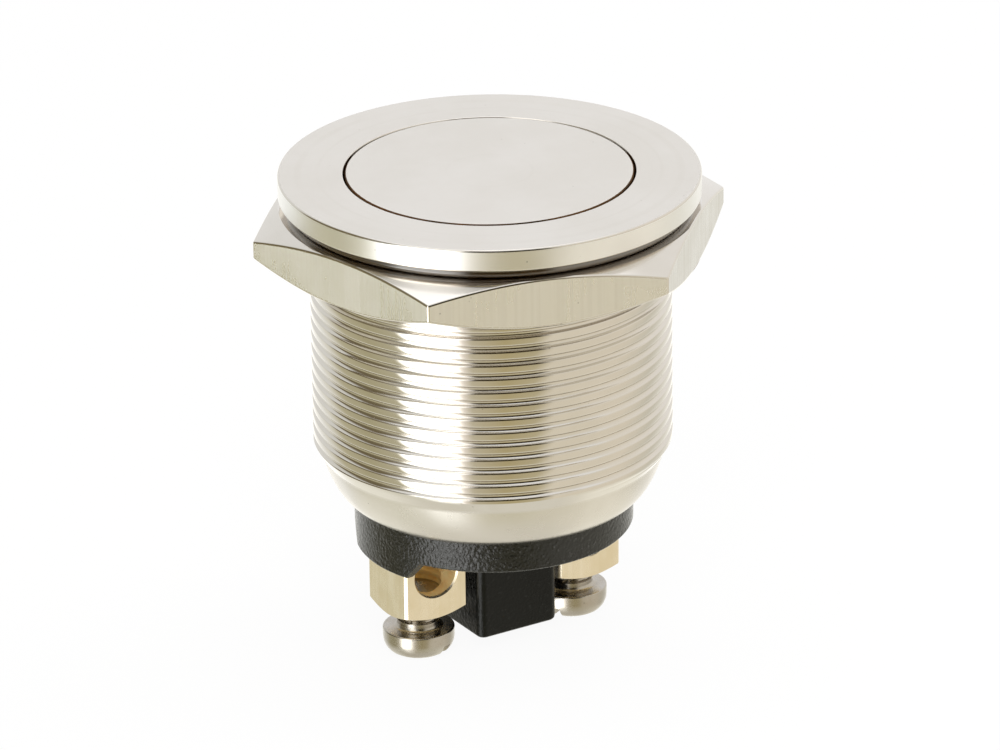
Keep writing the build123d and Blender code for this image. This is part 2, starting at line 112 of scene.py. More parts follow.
def pick(piece: Object, kind: str, test: Callable[[Vector], bool]) -> None:
    """Select the vertices, edges or faces whose middle passes a test, and stay in edit mode.

    Args:
        piece: The object, which becomes the active one.
        kind: "VERT", "EDGE" or "FACE".
        test: Takes the element's middle in millimetres.
    """
    edit(piece, kind, "DESELECT")
    bpy.ops.object.mode_set(mode="OBJECT")
    mesh = piece.data
    if kind == "VERT":
        rows = [(v, v.co) for v in mesh.vertices]
    elif kind == "EDGE":
        rows = [(e, (mesh.vertices[e.vertices[0]].co + mesh.vertices[e.vertices[1]].co) / 2) for e in mesh.edges]
    else:
        rows = [(f, f.center) for f in mesh.polygons]
    for element, middle in rows:
        element.select = test(middle / MM)
    bpy.ops.object.mode_set(mode="EDIT")


def fill(piece: Object, height: float, within: float = math.inf) -> None:
    """Close the ring of vertices at a height and within a radius, and stay in edit mode."""
    pick(piece, "VERT", lambda spot: abs(spot.z - height) < LEVEL and spot.xy.length < within)
    bpy.ops.mesh.edge_face_add()


def close_up(piece: Object) -> Object:
    """Merge a piece's doubles, turn all its faces outwards, and give it."""
    edit(piece)
    bpy.ops.mesh.remove_doubles(threshold=WELD)
    bpy.ops.mesh.normals_make_consistent(inside=False)
    return take(piece)


def modify(piece: Object, kind: str, **settings: object) -> Object:
    """Give a piece with a modifier applied.

    Args:
        piece: The object.
        kind: The modifier's type.
        **settings: Its settings.

    Returns:
        The same object.
    """
    take(piece)
    modifier = piece.modifiers.new(kind.lower(), kind)
    for key, value in settings.items():
        setattr(modifier, key, value)
    bpy.ops.object.modifier_apply(modifier=modifier.name)
    return piece


def combine(piece: Object, tool: Object, operation: str = "DIFFERENCE") -> Object:
    """Cut, join or intersect a piece with a tool shape.

    Args:
        piece: The object.
        tool: The tool shape, which is used up.
        operation: "DIFFERENCE", "UNION" or "INTERSECT".

    Returns:
        The same object.
    """
    modify(piece, "BOOLEAN", object=tool, operation=operation, solver="EXACT")
    bpy.data.objects.remove(tool)
    return piece


def smooth(piece: Object, angle: float) -> None:
    """Shade a piece smooth, with edges sharper than the angle in degrees kept crisp."""
    take(piece)
    bpy.ops.object.shade_smooth_by_angle(angle=math.radians(angle))


def crisp(piece: Object, angle: float = 28.0) -> Object:
    """Close a piece and shade it smooth, with its large flats kept truly flat.

    The piece is blown up for that, since the modifier takes faces of these small areas for nothing.

    Args:
        piece: The object.
        angle: Edges sharper than this, in degrees, stay crisp.

    Returns:
        The same object.
    """
    smooth(close_up(piece), angle)
    piece.data.transform(Matrix.Scale(BLOW_UP, 4))
    modify(piece, "WEIGHTED_NORMAL", keep_sharp=True)
    piece.data.transform(Matrix.Scale(1 / BLOW_UP, 4))
    return piece


def shift(piece: Object, x: float, turn: float = 0.0) -> Object:
    """Turn a piece about its axis by some degrees, move it along X, in its mesh, and give it."""
    piece.data.transform(Matrix.Translation((x * MM, 0, 0)) @ Matrix.Rotation(math.radians(turn), 4, "Z"))
    return piece


def pull_ring(start: Point, outline: Sequence[Point]) -> None:
    """Extrude the selected ring in edit mode through the points of an outline.

    Args:
        start: The ring's radius and height.
        outline: The next radii and heights.
    """
    radius, height = start
    for next_radius, next_height in outline:
        bpy.ops.mesh.extrude_region_move(TRANSFORM_OT_translate={"value": (0, 0, (next_height - height) * MM)})
        scale = next_radius / radius
        bpy.ops.transform.resize(value=(scale, scale, 1), center_override=(0, 0, next_height * MM))
        radius, height = next_radius, next_height


def continue_ring(piece: Object, start: Point, outline: Sequence[Point]) -> None:
    """Extrude the level ring at the start's height through an outline, and stay in edit mode."""
    pick(piece, "VERT", lambda spot: abs(spot.z - start[1]) < LEVEL)
    pull_ring(start, outline)


def turned(name: str, outline: Sequence[Point], solid: bool = False, segments: int = TURN_SEGMENTS) -> Object:
    """Turn a piece about the Z axis from its outline.

    Args:
        name: The piece's name.
        outline: Radii and heights around the section, or from one end's rim to the other's if it is solid.
        solid: True where the section reaches the axis at both ends.
        segments: Number of sides of the round.

    Returns:
        The turned object, closed and facing outwards.
    """
    clear_selection()
    radius, height = outline[0]
    bpy.ops.mesh.primitive_circle_add(
        vertices=segments,
        radius=radius * MM,
        fill_type="NGON" if solid else "NOTHING",
        location=(0, 0, height * MM),
    )
    piece = named(name)
    edit(piece, "FACE" if solid else "VERT")
    pull_ring(outline[0], [*outline[1:], *([] if solid else outline[:1])])
    return close_up(piece)


def cutter(name: str, outline: Sequence[Point]) -> Object:
    """Turn a small solid piece or tool from its outline, from one end's rim to the other's."""
    return turned(name, outline, True, SMALL_SEGMENTS)


def rounded(points: Sequence[tuple[float, ...]], steps: int = 4) -> list[Point]:
    """Round the corners of an outline.

    Args:
        points: Radius and height of each corner, with a third number where the corner is rounded: how far
            the rounding reaches along its two sides.
        steps: Number of facets in a rounding.

    Returns:
        The radii and heights with the corners replaced by arcs.
    """
    line: list[Point] = []
    for index, point in enumerate(points):
        corner = Vector(point[:2])
        if len(point) < 3:
            line.append((corner.x, corner.y))
            continue
        before = Vector(points[index - 1][:2])
        after = Vector(points[(index + 1) % len(points)][:2])
        first = corner + (before - corner).normalized() * point[2]
        last = corner + (after - corner).normalized() * point[2]
        for step in range(steps + 1):
            t = step / steps
            weight = 2 * t * (1 - t)
            spot = first * ((1 - t) ** 2 + SIDE_PULL * weight) + corner * (CORNER_PULL * weight)
            spot = spot + last * (t**2 + SIDE_PULL * weight)
            line.append((spot.x, spot.y))
    return line


def bar(name: str, size: Sequence[float], height: float, x: float = 0.0) -> Object:
    """Give a rectangular bar.

    Args:
        name: The piece's name.
        size: Its three sides.
        height: Height of its middle.
        x: Where its middle is along X.

    Returns:
        The bar.
    """
    clear_selection()
    bpy.ops.mesh.primitive_cube_add(size=1, location=(x * MM, 0, height * MM))
    bpy.context.object.scale = [value * MM for value in size]
    return named(name)


def bevel_edges(piece: Object, width: float, segments: int, test: Callable[[Vector], bool]) -> None:
    """Bevel the edges of a piece whose middle passes a test, by a width, and stay in edit mode."""
    pick(piece, "EDGE", test)
    bpy.ops.mesh.bevel(offset=width * MM, segments=segments, affect="EDGES")


@dataclass(frozen=True)
class Thread:
    """A helical thread around the Z axis."""

    crest: float  # radius over the crests
    root: float  # radius at the bottom of the grooves
    pitch: float
    groove: float  # width of a groove at the crest
    floor: float  # width of a groove at its bottom
    swell: float = 0.0  # how deep the crests have rounded off at the groove's edges, and its foot with them
    segments: int = TURN_SEGMENTS
    phase: float = 0.0  # height by which the whole helix is lifted

    def tooth(self, start: float) -> list[Point]:
        """Give one pitch of the section, upwards from the middle of a crest."""
        swell = self.swell
        edge = start + (self.pitch - self.groove) / 2
        middle = start + self.pitch / 2
        foot = middle - self.floor / 2
        lower = [
            (self.crest, start),
            (self.crest - 0.1 * swell, edge - 2.2 * swell),
            (self.crest - 0.4 * swell, edge - swell),
            (self.crest - swell, edge),
            (self.root + 1.4 * swell, foot - 2.8 * swell),
            (self.root + 0.6 * swell, foot - 1.6 * swell),
            (self.root, foot),
        ]
        return lower + [(radius, 2 * middle - height) for radius, height in reversed(lower)]

    def strip(self, name: str, low: float, high: float) -> Object:
        """Make the open helical surface between two heights, with both ends run out to level rings.

        Args:
            name: The piece's name.
            low: Height of the lower end ring.
            high: Height of the upper end ring.

        Returns:
            The threaded strip, whose end rings lie at the crest's radius.
        """
        clear_selection()
        section = self.tooth(low - 2 * self.pitch + self.phase)
        bpy.ops.mesh.primitive_plane_add(size=MM)
        piece = named(name)
        edit(piece)
        bpy.ops.mesh.merge(type="CENTER")
        radius, height = section[0]
        bpy.ops.transform.translate(value=(radius * MM, 0, height * MM))
        for next_radius, next_height in section[1:]:
            step = ((next_radius - radius) * MM, 0, (next_height - height) * MM)
            bpy.ops.mesh.extrude_region_move(TRANSFORM_OT_translate={"value": step})
            radius, height = next_radius, next_height
        turns = math.ceil((high - low) / self.pitch) + 3
        sides = self.segments
        modify(piece, "SCREW", screw_offset=self.pitch * MM, iterations=turns, steps=sides, render_steps=sides)
        for vertex in piece.data.vertices:
            place = vertex.co
            if (low + CLEAR) * MM < place.z < (high - CLEAR) * MM:
                continue
            place.z = (low if place.z < (low + high) / 2 * MM else high) * MM
            scale = self.crest * MM / math.hypot(place.x, place.y)
            place.x *= scale
            place.y *= scale
        edit(piece)
        bpy.ops.mesh.remove_doubles(threshold=WELD)
        bpy.ops.mesh.dissolve_degenerate(threshold=DEGENERATE)
        return take(piece)

    def plug(self, name: str, low: float, high: float) -> Object:
        """Make a closed threaded rod to cut a tapped hole.

        Args:
            name: The piece's name.
            low: Height of its lower end.
            high: Height of its upper end.

        Returns:
            The rod.
        """
        piece = self.strip(name, low, high)
        fill(piece, low)
        fill(piece, high)
        return close_up(piece)


# Finishes: shared effects are node groups, each placed in the materials with its own values


class Graph:
    """A node tree that is being wired up. An input is fed with a socket, to link it, or with a value."""

    def __init__(self, tree: NodeTree) -> None:
        """Keep the tree."""
        self.tree = tree

    def feed(self, node: Node, inputs: dict[str | int, object]) -> None:
        """Link or set a node's inputs, which are given by name or number."""
        for key, value in inputs.items():
            if isinstance(value, NodeSocket):
                self.tree.links.new(value, node.inputs[key])
            else:
                node.inputs[key].default_value = value

    def add(self, kind: str, inputs: dict[str | int, object] = {}, **settings: object) -> Node:
        """Add a node.

        Args:
            kind: The node's type.
            inputs: What its inputs are fed with, by name or number.
            **settings: Its settings.

        Returns:
            The node.
        """
        node = self.tree.nodes.new(kind)
        for key, value in settings.items():
            setattr(node, key, value)
        self.feed(node, inputs)
        return node

    def maths(self, operation: str, *values: object) -> NodeSocket:
        """Add a Math node and give its output."""
        return self.add("ShaderNodeMath", dict(enumerate(values)), operation=operation).outputs[0]

    def noise(self, vector: NodeSocket, scale: NodeSocket, detail: float) -> NodeSocket:
        """Add a noise texture and give its factor."""
        inputs = {"Vector": vector, "Scale": scale, "Detail": detail, "Roughness": 0.6}
        return self.add("ShaderNodeTexNoise", inputs).outputs[0]

    def cells(self, vector: NodeSocket, scale: NodeSocket) -> NodeSocket:
        """Add a cell texture and give the distance from its points."""
        return self.add("ShaderNodeTexVoronoi", {"Vector": vector, "Scale": scale}).outputs["Distance"]

    def ramp(self, value: NodeSocket, low: object, high: object, ends: Point = (0.0, 1.0)) -> NodeSocket:
        """Map a value smoothly from the range between low and high to the two ends, clamped."""
        inputs = {"Value": value, "From Min": low, "From Max": high, "To Min": ends[0], "To Max": ends[1]}
        return self.add("ShaderNodeMapRange", inputs, interpolation_type="SMOOTHSTEP").outputs["Result"]

    def split(self, vector: NodeSocket) -> Sequence[NodeSocket]:
        """Give the three numbers of a vector."""
        return self.add("ShaderNodeSeparateXYZ", {0: vector}).outputs

    def join(self, *parts: NodeSocket) -> NodeSocket:
        """Join up to three numbers to a vector."""
        return self.add("ShaderNodeCombineXYZ", dict(enumerate(parts))).outputs[0]

    def blend(self, factor: NodeSocket, low: object, high: object) -> NodeSocket:
        """Mix two colours, given as sockets or numbers, and give the result."""
        low, high = (value if isinstance(value, NodeSocket) else (*value, 1.0) for value in (low, high))
        return self.add("ShaderNodeMix", {"Factor": factor, 6: low, 7: high}, data_type="RGBA").outputs[2]


class Marks(Enum):
    """The tool marks that a finish shows, each a shared node group."""

    TURNED = "turning_marks"
    BRUSHED = "brushing_marks"
    MOULDED = "moulded_grain"


class Effect(Graph):
    """A shared effect: a node group on Object coordinates with number inputs and outputs."""

    def __init__(self, name: str, inputs: dict[str, float], outputs: Sequence[str]) -> None:
        """Open the group.

        Args:
            name: The group's name.
            inputs: Each input's name and usual value.
            outputs: Each output's name.
        """
        super().__init__(bpy.data.node_groups.new(name, "ShaderNodeTree"))
        face = self.tree.interface
        for key, value in inputs.items():
            socket = face.new_socket(name=key, in_out="INPUT", socket_type="NodeSocketFloat")
            socket.default_value = value
        for key in outputs:
            face.new_socket(name=key, in_out="OUTPUT", socket_type="NodeSocketFloat")
        self.given = self.add("NodeGroupInput").outputs
        self.out = self.add("NodeGroupOutput")
        self.place = self.add("ShaderNodeTexCoord").outputs["Object"]


class Wear(Effect):
    """Slow mottling of a handled surface, and scattered tiny pits and dust, both masks."""

    def __init__(self) -> None:
        """Build the group."""
        super().__init__("wear", {"Cloud": 3.0, "Spacing": 1.2, "Radius": 0.05}, ("Cloud", "Speck"))
        cloud = self.noise(self.place, self.maths("DIVIDE", 1.0 / MM, self.given["Cloud"]), 4.0)
        spots = self.cells(self.place, self.maths("DIVIDE", 1.0 / MM, self.given["Spacing"]))
        edge = self.maths("MULTIPLY", self.given["Radius"], 0.5)
        speck = self.ramp(spots, edge, self.given["Radius"], (1.0, 0.0))
        self.feed(self.out, {"Cloud": self.ramp(cloud, 0.32, 0.68), "Speck": speck})


class ToolMarks(Effect):
    """One kind of tool marks: a height, and a mask."""

    def __init__(self, kind: Marks) -> None:
        """Build the group of a kind of marks, whose value is the group's name."""
        super().__init__(kind.value, {"Spacing": 9.0}, ("Height", "Mask"))
        self.scale = self.maths("MULTIPLY", self.given["Spacing"], 1.0 / MM)
        build = {Marks.TURNED: self.turning, Marks.BRUSHED: self.brushing, Marks.MOULDED: self.moulding}
        height, mask = build[kind]()
        self.feed(self.out, {"Height": height, "Mask": mask})

    def turning(self) -> tuple[NodeSocket, NodeSocket]:
        """Fine rings left by a lathe: a height, and a mask of the deeper ones."""
        x, y, z = self.split(self.place)
        share = self.noise(self.place, self.maths("MULTIPLY", self.scale, 0.06), 2.0)
        share = self.ramp(share, 0.35, 0.65, (0.25, 1.0))
        squares = self.maths("ADD", self.maths("MULTIPLY", x, x), self.maths("MULTIPLY", y, y))
        rings = self.join(self.maths("SQRT", squares), z)
        fine = self.noise(rings, self.scale, 3.0)
        broad = self.noise(rings, self.maths("MULTIPLY", self.scale, 0.21), 2.0)
        mask = self.maths("MULTIPLY", self.ramp(broad, 0.58, 0.7), share)
        return self.maths("MULTIPLY", fine, share), mask

    def brushing(self) -> tuple[NodeSocket, NodeSocket]:
        """Straight fine lines along Z, as on flats of drawn bar: a height, and a mask of scratches."""
        x, y, z = self.split(self.place)
        lines = self.join(x, y, self.maths("MULTIPLY", z, 0.008))
        fine = self.noise(lines, self.scale, 0.5)
        wide = self.noise(lines, self.maths("MULTIPLY", self.scale, 0.33), 1.0)
        streak = self.ramp(fine, 0.38, 0.68, (0.0, 0.6))
        return fine, self.maths("ADD", streak, self.ramp(wide, 0.62, 0.7, (0.0, 0.4)))

    def moulding(self) -> tuple[NodeSocket, NodeSocket]:
        """Fine pebbled grain of a moulded or blasted surface: a height, and a mask of the raised grain, where black
        plastics get painted glints.
        """
        fine = self.noise(self.place, self.scale, 3.0)
        dimple = self.maths("MULTIPLY", self.cells(self.place, self.scale), 0.5)
        return self.maths("SUBTRACT", fine, dimple), self.ramp(fine, 0.6, 0.7)


@dataclass(frozen=True)
class Finish:
    """One finish and the way its surface varies. Colours are linear."""

    name: str
    colour: Colour
    shade: Colour  # colour in the marks and clouds
    metallic: float = 1.0
    roughness: float = 0.2  # where the surface is cleanest
    worn: float = 0.1  # roughness added in clouds and marks
    marks: Marks = Marks.TURNED
    spacing: float = 14.0  # marks per millimetre
    relief: float = 0.0006  # height of the marks
    mark_tint: float = 0.4  # how much the marks take the shade's colour
    cloud_tint: float = 0.5  # how much the clouds take it
    anisotropy: float = 0.0  # how far the reflection is drawn out across the marks
    lift: float = 0.0  # rotation of the anisotropy, in turns
    cloud: float = 3.0  # size of the mottling
    specks: float = 0.4  # strength of the pits and dust
    speck_colour: Colour = (0.12, 0.11, 0.1)
    coat: float = 0.0  # weight of a clear gloss
    specular: float = 0.5

    def make(self, wear_group: NodeTree, marks_group: NodeTree) -> Material:
        """Build the material.

        Args:
            wear_group: The shared group of clouds and specks.
            marks_group: The shared group of its tool marks.

        Returns:
            The material.
        """
        material = bpy.data.materials.new(self.name)
        material.use_nodes = True
        graph = Graph(material.node_tree)
        wear = graph.add("ShaderNodeGroup", node_tree=wear_group)
        marks = graph.add("ShaderNodeGroup", node_tree=marks_group)
        graph.feed(wear, {"Cloud": self.cloud})
        graph.feed(marks, {"Spacing": self.spacing})
        cloud, mask = wear.outputs["Cloud"], marks.outputs["Mask"]
        dust = graph.maths("MULTIPLY", wear.outputs["Speck"], self.specks)

        tint = graph.blend(graph.maths("MULTIPLY", cloud, self.cloud_tint), self.colour, self.shade)
        tint = graph.blend(graph.maths("MULTIPLY", mask, self.mark_tint), tint, self.shade)
        tint = graph.blend(dust, tint, self.speck_colour)
        patchy = graph.maths("MULTIPLY_ADD", graph.maths("ADD", cloud, mask), 0.5 * self.worn, self.roughness)
        height = graph.maths("SUBTRACT", marks.outputs["Height"], dust)
        bump = graph.add("ShaderNodeBump", {"Distance": self.relief * MM, "Height": height})
        inputs = {
            "Base Color": tint,
            "Roughness": graph.maths("MULTIPLY_ADD", dust, 0.3, patchy),
            "Normal": bump.outputs["Normal"],
            "Metallic": self.metallic,
            "Anisotropic": self.anisotropy,
            "Anisotropic Rotation": self.lift,
            "Coat Weight": self.coat,
            "Coat Roughness": 0.12,
            "Coat IOR": 2.0,
            "Specular IOR Level": self.specular,
        }
        graph.feed(graph.tree.nodes["Principled BSDF"], inputs)
        return material


def grained(name: str, colour: Colour, shade: Colour, **values: object) -> Finish:
    """Give a finish with moulded or blasted grain."""
    return Finish(name, colour, shade, marks=Marks.MOULDED, **values)


STEEL, STEEL_SHADE = (0.72, 0.69, 0.655), (0.67, 0.64, 0.595)
BRASS = (0.86, 0.79, 0.65)
BLACK_SPECKS = {"spacing": 5.5, "cloud_tint": 0.1, "specks": 0.7}
FINISHES = (
    Finish(
        "turned_steel", STEEL, STEEL_SHADE,
        roughness=0.09, worn=0.07, anisotropy=0.6, lift=0.25, spacing=7.0, relief=0.0003,
    ),
    # painted light: a paler copy of the steel so the flange's rim reads lighter; its rougher vertical turning is real
    Finish(
        "rim_steel", (0.93, 0.93, 0.935), (0.87, 0.865, 0.86),
        roughness=0.37, worn=0.06, anisotropy=0.5, lift=0.25, spacing=9.0,
    ),
    Finish("tail_steel", STEEL, STEEL_SHADE, roughness=0.24, spacing=4.0, relief=0.0003, specks=0.3),
    Finish(
        "satin_steel", (0.62, 0.595, 0.564), (0.58, 0.554, 0.515),
        metallic=0.5, roughness=0.4, spacing=5.0, relief=0.0002, cloud=5.0, specks=0.2,
    ),
    Finish(
        "nut_steel", (0.84, 0.84, 0.845), (0.72, 0.71, 0.695),
        marks=Marks.BRUSHED, roughness=0.25, spacing=5.0, relief=0.0002, mark_tint=0.7, cloud_tint=0.3, anisotropy=0.8,
    ),
    # painted shade: a near-black brown with an orange tint, laid on the cap's side wall where it stands in the gap's
    # shadow
    grained(
        "painted_gap_shade", (0.03, 0.018, 0.008), (0.16, 0.07, 0.02), metallic=0.0, roughness=0.6, spacing=3.0, specular=0.1
    ),
    grained(
        "nickel", (0.5, 0.475, 0.44), (0.41, 0.365, 0.3),
        roughness=0.24, spacing=4.0, relief=0.0005, cloud=1.2, specks=0.5,
    ),
    Finish(
        "terminal_brass", BRASS, (0.77, 0.67, 0.47), marks=Marks.BRUSHED,
        roughness=0.22, worn=0.16, spacing=4.0, cloud=1.4, specks=0.5, speck_colour=(0.3, 0.2, 0.08),
    ),
    # painted light: a brighter, more orange brass standing in for the warm glow of light bouncing inside the holes
    grained("hole_brass", (1.0, 0.86, 0.5), (1.0, 0.66, 0.26), metallic=0.4, roughness=0.4, spacing=3.0, cloud=0.8),
    Finish("contact_brass", BRASS, (0.6, 0.46, 0.22), marks=Marks.BRUSHED, roughness=0.28, spacing=6.0),
    grained("contact_silver", (0.9, 0.88, 0.84), (0.7, 0.68, 0.62), roughness=0.22),
    grained("spring_steel", (0.55, 0.54, 0.52), (0.4, 0.39, 0.37), roughness=0.25),
    # painted glints: its shade is far lighter than its colour, so the raised grain shows as painted glints
    grained(
        "charcoal_plastic", (0.003, 0.004, 0.0038), (0.05, 0.052, 0.05),
        metallic=0.0, roughness=0.15, relief=0.045, mark_tint=0.8, speck_colour=(0.12, 0.12, 0.11), **BLACK_SPECKS,
    ),
    # painted glints: its shade is lighter than its colour, so the raised grain shows as faint painted glints
    grained(
        "matt_plastic", (0.003, 0.004, 0.0035), (0.03, 0.032, 0.029),
        metallic=0.0, roughness=0.25, relief=0.02, speck_colour=(0.06, 0.06, 0.055), specular=0.2, **BLACK_SPECKS,
    ),
    grained(
        "ivory_plastic", (0.72, 0.68, 0.58), (0.6, 0.55, 0.45), metallic=0.0, roughness=0.4, spacing=4.0, relief=0.004
    ),
    grained(
        "gasket_rubber", (0.04, 0.02, 0.006), (0.075, 0.038, 0.012),
        metallic=0.0, roughness=0.1, spacing=1.5, relief=0.002, coat=1.0, specular=1.0,
    ),
    grained(
        "seal_rubber", (0.1, 0.035, 0.012), (0.07, 0.025, 0.01),
        metallic=0.0, roughness=0.45, spacing=5.0, relief=0.004,
    ),
)


class Workshop:
    """The finishes of the whole button."""

    def __init__(self) -> None:
        """Make every finish once."""
        marks = {kind: ToolMarks(kind).tree for kind in Marks}
        wear = Wear().tree
        self.finishes = {finish.name: finish.make(wear, marks[finish.marks]) for finish in FINISHES}

    def dress(self, piece: Object, body: str, node: str, finish: str) -> None:
        """Give a finished piece its material and say what it stands for.

        Args:
            piece: The object.
            body: The body it moves with.
            node: The node it stands for.
            finish: Its finish's name.
        """
        piece.data.materials.clear()
        piece.data.materials.append(self.finishes[finish])
        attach(piece, body)
        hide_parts(node)
        log.info("%s rides on %s with %d faces", piece.name, body, len(piece.data.polygons))

    def touch_up(self, piece: Object, finish: str, test: Callable[[Vector, Vector], bool]) -> None:
        """Give some faces of a piece another finish.

        Args:
            piece: The object.
            finish: The finish's name.
            test: Takes a face's middle, in millimetres, and its normal.
        """
        piece.data.materials.append(self.finishes[finish])
        for face in piece.data.polygons:
            if test(face.center / MM, face.normal):
                face.material_index = len(piece.data.materials) - 1

    def carry_over(self, finish: str, *nodes: str) -> None:
        """Give nodes whose solid shape stays their finish."""
        for node in nodes:
            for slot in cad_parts[node].material_slots:
                slot.material = self.finishes[finish]


# Sub-assemblies: each class holds its sizes, builds its pieces and dresses them


@dataclass
class Barrel:
    """Flange, threaded barrel and rolled tail, with the well, land and cavity inside."""

    flange: float = 11.0
    top: float = 1.2
    edge: float = 0.1
    well: float = 7.6
    well_floor: float = -2.6
    well_edge: float = 0.05
    land: float = 5.1
    land_bevel: float = 0.3
    ledge: float = -7.2
    cavity: float = 8.0
    shoulder: float = -15.5
    lip_bore: float = 7.4
    thread: Thread = Thread(crest=9.45, root=9.28, pitch=0.75, groove=0.35, floor=0.06, swell=0.025, phase=0.05)
    thread_top: float = -0.25
    thread_end: float = -13.5
    neck: Point = (9.11, -14.06)
    tail: Sequence[Point] = ((9.05, -14.14), (8.8, -15.05), (8.23, -16.56), (7.43, -16.7))
    tail_steps: int = 16
    tail_top: float = -14.18
    burr: float = 0.0008
    burr_grain: float = 9.7

    def rolled_end(self) -> list[Point]:
        """Give the curve from the thread's lower end round the rolled end, through the tail's control points."""
        start, first, second, last = (Vector(point) for point in self.tail)
        curve = [
            start * (1 - t) ** 3 + first * (3 * t * (1 - t) ** 2) + second * (3 * t**2 * (1 - t)) + last * t**3
            for t in (step / self.tail_steps for step in range(self.tail_steps + 1))
        ]
        return [(spot.x, spot.y) for spot in curve]

    def inside(self) -> list[Point]:
        """Give the outline from the lip through the cavity, land and well to the flange's underside."""
        soft = 1.3 * self.edge
        corners = [
            (self.lip_bore, self.tail[-1][1] + 0.03), (self.lip_bore, self.shoulder), (self.cavity, self.shoulder),
            (self.cavity, self.ledge), (self.land, self.ledge), (self.land, self.well_floor - self.land_bevel),
            (self.land + self.land_bevel, self.well_floor), (self.well, self.well_floor),
            (self.well, self.top, self.well_edge), (self.well + self.edge, self.top),
            (self.flange - soft, self.top), (self.flange, self.top, self.edge), (self.flange, self.top - soft),
            (self.flange, soft), (self.flange, 0.0, self.edge),
            (self.thread.crest, 0.0), (self.thread.crest, self.thread_top),
        ]
        return rounded(corners)

    def build(self, workshop: Workshop) -> None:
        """Model the housing as one closed turned piece with a real helical thread, and dress it.

        Args:
            workshop: The finishes.
        """
        crest = self.thread.crest
        piece = self.thread.strip("barrel_housing", self.neck[1], self.thread_top)
        slope = (crest - self.neck[0]) / (self.thread_end - self.neck[1])
        for vertex in piece.data.vertices:
            spot = vertex.co / MM
            radius = math.hypot(spot.x, spot.y)
            limit = crest - slope * max(0.0, self.thread_end - spot.z)
            burr = self.burr * noise.noise(spot * self.burr_grain)
            worn = burr if crest - 0.03 < radius < crest - 0.001 else 0.0
            shrink = min(1.0, limit / radius, 1.0 + worn / radius)
            vertex.co.x *= shrink
            vertex.co.y *= shrink
        continue_ring(piece, self.neck, [*self.rolled_end(), *self.inside()])
        smooth(close_up(piece), 24)
        workshop.dress(piece, "body", "housing", "turned_steel")
        # the flange's rim takes the paler steel, which is painted light
        rim = self.flange - 0.003
        workshop.touch_up(piece, "rim_steel", lambda spot, way: spot.xy.length > rim and abs(way.z) < 0.1)
        workshop.touch_up(piece, "satin_steel", lambda spot, way: way.z > 0.99 and spot.z > 0)
        cavity = self.cavity - 0.5
        workshop.touch_up(piece, "tail_steel", lambda spot, way: spot.z < self.tail_top and spot.xy.length > cavity)


@dataclass
class Cap:
    """The flat cap with its hollow stem."""

    head: float = 7.5
    top: float = 1.2
    underside: float = -0.8
    stem: float = 5.02
    stem_end: float = -8.41
    bore: float = 3.4
    roof: float = -0.2
    clip: Point = (-7.73, -7.2)
    clip_floor: float = 4.5
    seal: Point = (-4.85, -3.75)
    seal_floor: float = 4.17
    edge: float = 0.1
    face: float = 6.9
    play: Point = (0.02, 0.035)
    # direction of the back: the gap wall that faces it is left without the painted shade
    back: Colour = (0.52, 0.854, 0.0)

    def groove(self, ends: Point, floor: float) -> list[Point]:
        """Give the outline of a groove in the stem, from its lower end to its upper one."""
        return [(self.stem, ends[0]), (floor, ends[0]), (floor, ends[1]), (self.stem, ends[1])]

    def build(self, workshop: Workshop) -> None:
        """Model the cap as one turned solid and dress it, with painted shade on the wall of its gap except where it
        faces the back.

        The head sits off the well's middle by its play, so the gap is widest at the front.

        Args:
            workshop: The finishes.
        """
        corners = [
            (self.bore, self.roof), (self.bore, self.stem_end, self.edge), (self.stem, self.stem_end, 0.15),
            *self.groove(self.clip, self.clip_floor), *self.groove(self.seal, self.seal_floor),
            (self.stem, self.underside), (self.head, self.underside, self.edge),
            (self.head, self.top, self.edge), (self.face, self.top),
        ]
        piece = turned("cap_flat", rounded(corners), solid=True)
        for vertex in piece.data.vertices:
            if vertex.co.xy.length > (self.face - 0.1) * MM:
                vertex.co += Vector((*self.play, 0)) * MM
        crisp(piece)
        workshop.dress(piece, "button", "button_cap", "satin_steel")
        gap_wall_radius = self.head - self.edge
        back = Vector(self.back)
        # painted shade on the cap's side wall inside the gap, left off the faces that look to the back
        workshop.touch_up(
            piece,
            "painted_gap_shade",
            lambda spot, way: self.underside < spot.z < self.top - 0.02
            and spot.xy.length > gap_wall_radius
            and way.dot(back) < 0.35,
        )


@dataclass
class Gasket:
    """The rubber ring under the flange, with a rounded outer edge."""

    inner: float = 9.5
    outer: float = 10.6
    thickness: float = 0.55
    edge: float = 0.26

    def build(self, workshop: Workshop) -> None:
        """Model the ring and dress it.

        Args:
            workshop: The finishes.
        """
        low, soft = -self.thickness, self.edge
        corners = [(self.inner, 0.0), (self.inner, low), (self.outer, low, soft), (self.outer, 0.0, soft)]
        piece = crisp(turned("gasket_ring", rounded(corners, 8)), 40)
        workshop.dress(piece, "body", "panel_gasket", "gasket_rubber")


